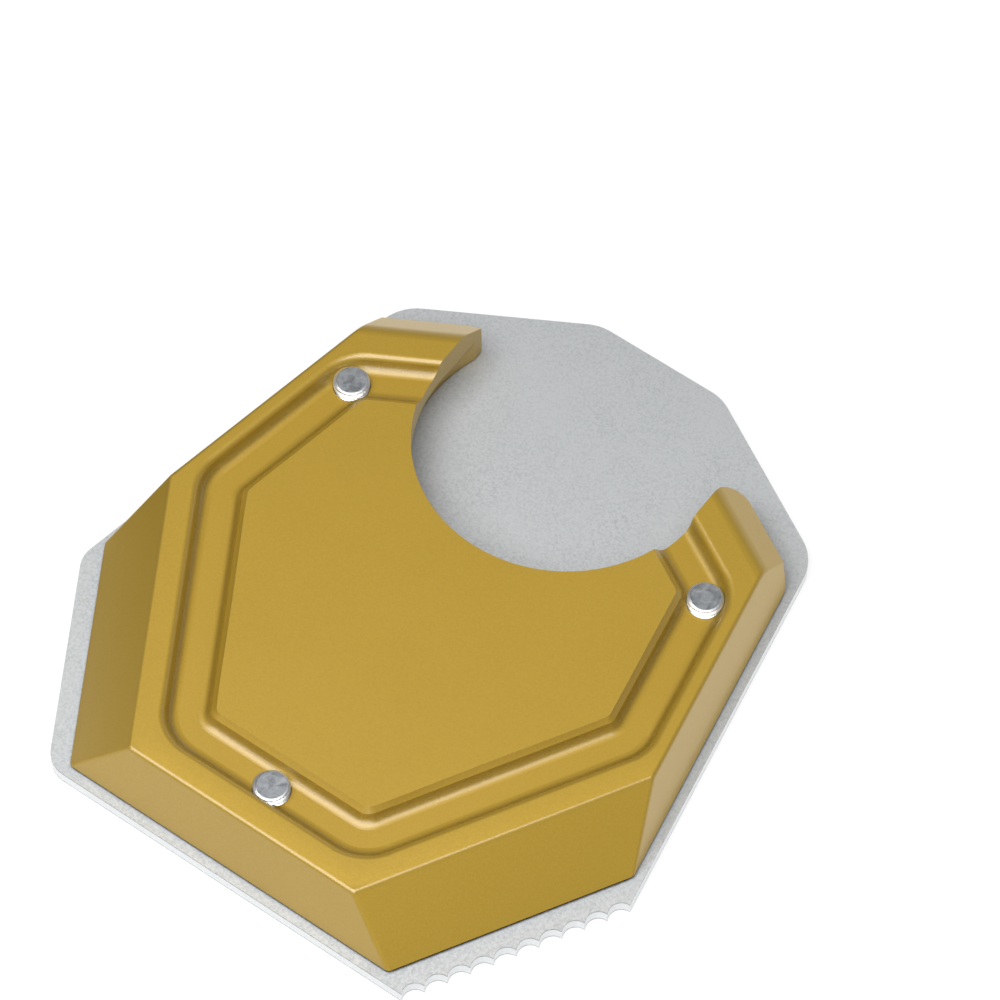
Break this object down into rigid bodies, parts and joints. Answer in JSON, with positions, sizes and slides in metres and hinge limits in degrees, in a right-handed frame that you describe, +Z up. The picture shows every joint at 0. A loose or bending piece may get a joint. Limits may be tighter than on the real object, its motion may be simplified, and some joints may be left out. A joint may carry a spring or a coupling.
{
  "type": "side stand foot enlarger",
  "caption": "Wide clamp-on foot for a motorbike side stand: a faceted block with a sunken channel and a round slot open to the back, screwed to a flat ground plate with a scalloped edge.",
  "frame": {"origin": "centre of the bounding box, on the ground face of the plate", "axes": "+X across the part, +Y towards the open end of the slot, +Z up from the ground"},
  "size_m": [0.1082, 0.1192, 0.0127],
  "materials": {
    "anodised_block": "gold anodised, satin",
    "blasted_plate": "bead blasted, matt",
    "screw_steel": "bright, plain"
  },
  "bodies": {
    "root": {"upper_clamp": "anodised_block", "base_plate": "blasted_plate", "clamp_screws": "screw_steel"}
  },
  "joints": []
}
